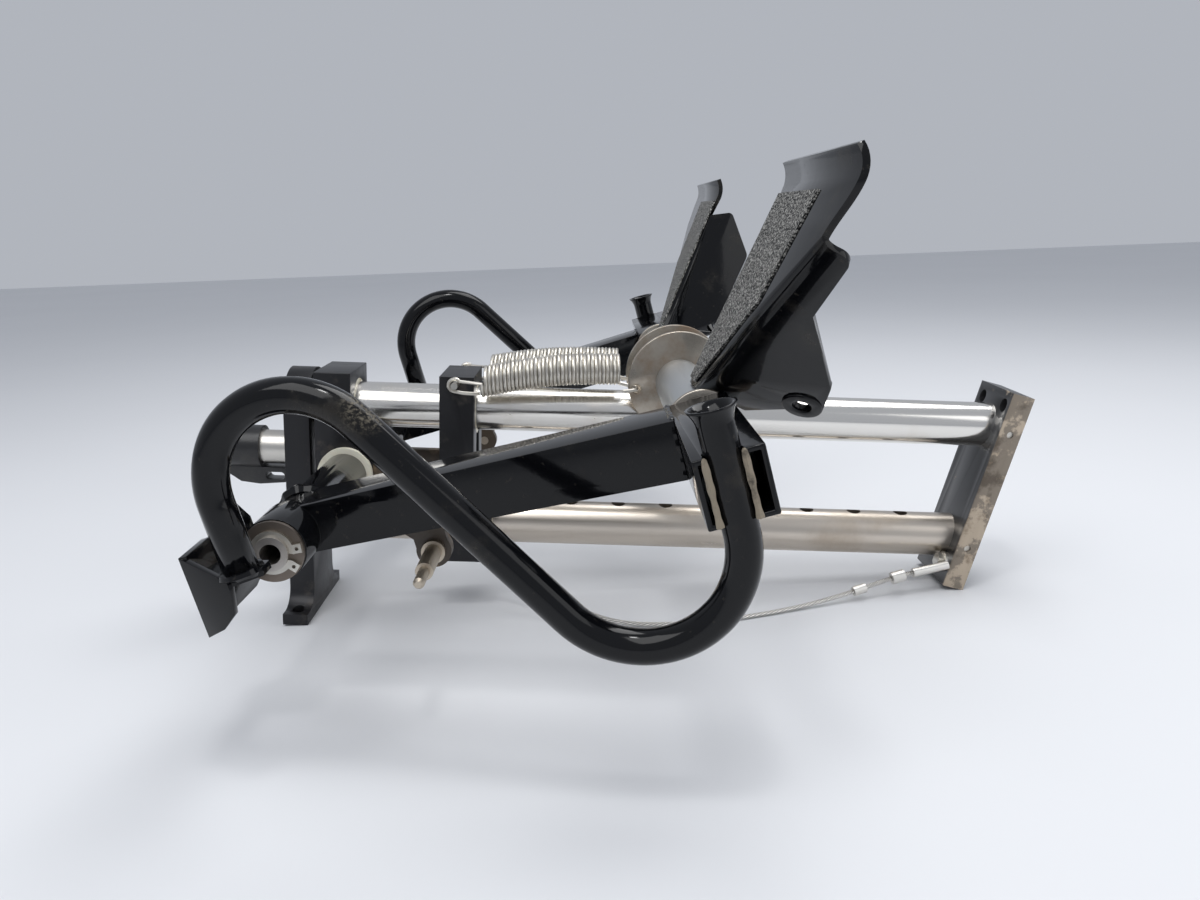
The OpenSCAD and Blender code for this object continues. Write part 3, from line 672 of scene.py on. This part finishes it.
def add_pedal(side_name):
    side = SIDES[side_name]
    faces, folds, out_turn = pedal_faces()
    spots = []
    for face in faces:
        spots += [p for p in face if all(math.dist(p, q) > 0.01 for q in spots)]

    def find(p):
        return min(range(len(spots)), key=lambda k: math.dist(p, spots[k]))

    mesh = bpy.data.meshes.new(side_name + "_folded_pedal")
    corners = [pedal_point(*p, side) for p in spots]
    mesh.from_pydata(corners, [], [[find(p) for p in face] for face in faces])
    pedal = bpy.data.objects.new(mesh.name, mesh)
    bpy.context.collection.objects.link(pedal)
    make_active(pedal)
    pairs = [{find(p) for p in fold} for fold in folds]
    bpy.ops.object.mode_set(mode="EDIT")
    bpy.ops.mesh.select_mode(type="EDGE")
    bpy.ops.mesh.select_all(action="DESELECT")
    bpy.ops.object.mode_set(mode="OBJECT")
    for edge in mesh.edges:
        edge.select = set(edge.vertices) in pairs
    bpy.ops.object.mode_set(mode="EDIT")
    bpy.ops.mesh.bevel(offset=FOLD_R * MM, segments=7, affect="EDGES")
    bpy.ops.mesh.select_all(action="SELECT")
    bpy.ops.mesh.normals_make_consistent(inside=False)
    bpy.ops.object.mode_set(mode="OBJECT")
    apply_modifier(pedal, "SOLIDIFY", thickness=SHEET * MM, offset=0)
    round_edges(pedal, PEDAL_EDGE, 2, 50)
    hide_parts(side_name + "_brake_pedal")
    dress(pedal, "gloss_black", side_name + "_toe_brake")
    add_link_boss(side_name, out_turn)


def add_link_boss(side_name, out_turn):
    """The thick eye round the brake link's hole."""
    side = SIDES[side_name]
    n, w, t = on_flange(BEND[0], out_turn, [LUG])[0]

    def place(depth):
        return pedal_point(n, w + depth * math.cos(out_turn), t - depth * math.sin(out_turn), side)

    boss = add_rod(side_name + "_link_boss", place(-BOSS_HALF), place(BOSS_HALF), LUG_R * MM)
    cut(boss, add_rod("drill", place(-DRILL_HALF), place(DRILL_HALF), LUG_HOLE_R * MM))
    round_edges(boss, BOSS_EDGE, 3, 50)
    dress(boss, "gloss_black", side_name + "_toe_brake")


# Return springs
def coil_point(f):
    """A point of the coil, a share f of the way along its bowed middle line."""
    x, w, z = (a + (b - a) * f for a, b in zip(SPRING_START, SPRING_END))
    turn = -2 * math.pi * SPRING_TURNS * f
    bow = SPRING_BOW * math.sin(math.pi * f)
    return (x, w + SPRING_R * math.cos(turn), z + bow + SPRING_R * math.sin(turn))


def add_spring(side_name):
    side = SIDES[side_name]
    steps = round(SPRING_TURNS * COIL_STEPS)
    hook = [(x, HOOK_OUT, z) for x, z in arc(ANCHOR, HOOK_R, math.radians(270), math.radians(40), 12)]
    coil = [coil_point(k / steps) for k in range(steps + 1)]
    hole = (HUB[0] + DISC_HOLE[0], HUB[2] + DISC_HOLE[1])
    tail = [(hole[0] + x, w, hole[1] + z) for x, w, z in TAIL]
    points = [(x, side * w, z) for x, w, z in RETURN_WIRE + hook + coil + tail]
    spring = sweep_mesh(side_name + "_coil_spring", points, SPRING_WIRE / 2, 12)
    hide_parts(side_name + "_return_spring")
    spring.data.materials.append(FINISHES["spring_steel"])
    open_coils = [a + (b - a) * SPRING_GIVES for a, b in zip(SPRING_START, SPRING_END)]
    start, end = (in_metres((x, side * w, z)) for x, w, z in (SPRING_START, open_coils))
    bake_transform(spring)


# Welds
def add_weld(name, route, body, bead, finish=None):
    """A lumpy weld bead along a route in millimetres; sums of sines make its ripples."""
    fine = smooth_route(route, max(4, 36 // len(route)))
    radii = [1 + 0.1 * math.sin(k * 0.9) + 0.14 * math.sin(k * 0.37 + 1) for k in range(len(fine))]
    radii[0] = radii[-1] = 0.35
    weld = sweep_mesh(name, fine, bead, 10, radii)
    dress(weld, "gloss_black", body)
    if finish:
        weld.data.materials[0] = finish


def add_welds(side_name):
    """Beads where the torque tube, the cross tube, the bracket and the S tube are welded on."""
    side = SIDES[side_name]
    body = side_name + "_rudder_arm"

    def place(u, w, v):
        x, y, z = arm_point(u, w, v)
        return (x, side * y, z)

    root = [place(TORQUE_R * math.cos(t), ROOT_OUT + 3 * math.sin(t), TORQUE_R * math.sin(t))
            for t in (math.radians(a) for a in range(28, 168, 20))]
    add_weld(side_name + "_root_weld", root, body, ROOT_BEAD)
    half = CROSS_W / 2
    tip = ARM_LEN - half
    for name, v in (("_top_seam", half), ("_low_seam", -half)):
        seam = [place(tip - 0.4, w, v * 0.97) for w in SEAM_OUT]
        add_weld(side_name + name, seam, body, SEAM_BEAD)
    seam = [place(tip - 0.2, SIDE_SEAM_OUT, v) for v in (-half + 1, -4, 3, half - 1)]
    add_weld(side_name + "_side_seam", seam, body, SEAM_BEAD)
    foot = s_place(*s_line()[0], 1)
    ring = [(S_TUBE_R * 1.02 * math.cos(t), S_TUBE_R * 1.02 * math.sin(t))
            for t in (math.radians(a) for a in range(20, 341, 32))]
    low = [place(S_LOW[0] + du, foot[1] + dw, S_LOW[1] + 0.4) for du, dw in ring]
    add_weld(side_name + "_foot_weld", low, body, FOOT_BEAD)
    for name, u in (("_front_seam", S_TUBE_R + 0.2), ("_rear_seam", -S_TUBE_R - 0.2)):
        seam = [place(ARM_LEN - S_SET_BACK + u, TUBE_SEAM_OUT, v) for v in (-half, -4, 3, half)]
        add_weld(side_name + "_tube" + name, seam, body, SEAM_BEAD, GRIMY_WELD)


# Cable
def add_cable():
    route = smooth_route(CABLE, 8)
    metres = [in_metres(p) for p in route]
    cable = sweep_mesh("stop_wire_rope", route, CABLE_D / 2, 16)
    cable.data.materials.append(ROPE)
    strand_map(cable, [Vector(p) * MM for p in route])
    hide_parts("stop_cable")
    in_metres(CABLE[CABLE_HELD])
    in_metres(CABLE[-1])
    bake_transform(cable)


def strand_map(cable, route):
    """UV map: metres along the cable, and the share of a turn round it."""
    layer = cable.data.uv_layers.new(name="strands")
    reach = [0]
    for a, b in zip(route, route[1:]):
        reach.append(reach[-1] + (b - a).length)
    spot = []
    for vertex in cable.data.vertices:
        i = min(range(len(route)), key=lambda k: (vertex.co - route[k]).length_squared)
        ahead = (route[min(i + 1, len(route) - 1)] - route[max(i - 1, 0)]).normalized()
        side = ahead.cross(Vector((0, 0, 1))).normalized()
        off = vertex.co - route[i]
        spot.append((reach[i], math.atan2(off.dot(side.cross(ahead)), off.dot(side)) / (2 * math.pi)))
    for face in cable.data.polygons:
        turns = [spot[v][1] for v in face.vertices]
        for loop, v in zip(face.loop_indices, face.vertices):
            turn = spot[v][1]
            if max(turns) - min(turns) > 0.5 and turn < 0:
                turn += 1
            layer.data[loop].uv = (spot[v][0], turn)


# Rounded copies of the solids
def soften(node, body, slot, width):
    """A copy of a CAD solid whose sharp edges are rounded; it stands for the solid."""
    make_active(bpy.data.objects[node])
    bpy.ops.object.duplicate()
    copy = bpy.context.object
    for key in list(copy.keys()):
        del copy[key]
    copy.parent = None
    copy.name = node + "_rounded"
    bpy.ops.object.mode_set(mode="EDIT")
    bpy.ops.mesh.select_all(action="SELECT")
    bpy.ops.mesh.remove_doubles(threshold=0.00002)
    bpy.ops.mesh.customdata_custom_splitnormals_clear()
    bpy.ops.mesh.dissolve_limited(angle_limit=math.radians(1))
    bpy.ops.object.mode_set(mode="OBJECT")
    round_edges(copy, width, 3, 40)
    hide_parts(node)
    dress(copy, slot, body)


def soften_solids():
    bodies = frame["record"]["behaviour"]["bodies"]
    body_of = {node: body for body, nodes in bodies.items() for node in nodes}
    slot_of = {part["node"]: part["material_slot"] for part in frame["record"]["subparts"]}
    for name, width in ROUNDED.items():
        nodes = [side_name + name for side_name in SIDES] if name[0] == "_" else [name]
        for node in nodes:
            soften(node, body_of[node], slot_of[node], width)


# Floor and light
def add_floor():
    """A floor that touches the rear foot and the front plate."""
    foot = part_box("rear_foot")
    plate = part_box("front_plate")
    low_x = foot[1][0]
    lean = math.atan2(plate[0][2] - foot[0][2], plate[0][0] + PLATE_EDGE - low_x)
    bpy.ops.mesh.primitive_plane_add(size=6, location=(low_x, 0, foot[0][2] - FLOOR_GAP),
                                     rotation=(0, -lean, 0))
    floor = bpy.context.object
    floor.name = "studio_floor"
    made = Finish("studio_floor", Roughness=0.75)
    cloud = made.noise(3, detail=2)
    made.feed("Base Color", made.blend(cloud, (0.72, 0.73, 0.75), (0.76, 0.77, 0.79)))
    floor.data.materials.append(made.material)


def add_lamp(name, place, size, power):
    bpy.ops.object.light_add(type="AREA", location=place)
    lamp = bpy.context.object
    lamp.name = name
    lamp.data.size = size
    lamp.data.energy = power
    lamp.rotation_euler = (Vector(LAMP_AIM) - Vector(place)).to_track_quat("-Z", "Y").to_euler()


def add_light():
    world = bpy.data.worlds.new("studio")
    bpy.context.scene.world = world
    world.use_nodes = True
    back = world.node_tree.nodes["Background"]
    back.inputs["Color"].default_value = (0.8, 0.84, 0.92, 1)
    back.inputs["Strength"].default_value = 0.55
    for name, (place, size, power) in LAMPS.items():
        add_lamp(name, place, size, power)
    bpy.context.scene.view_settings.view_transform = "Standard"


set_camera()
add_cable()
dress_solids()
for side_name in SIDES:
    add_s_tube(side_name)
    add_pedal(side_name)
    add_spring(side_name)
    add_welds(side_name)
soften_solids()
add_floor()
add_light()
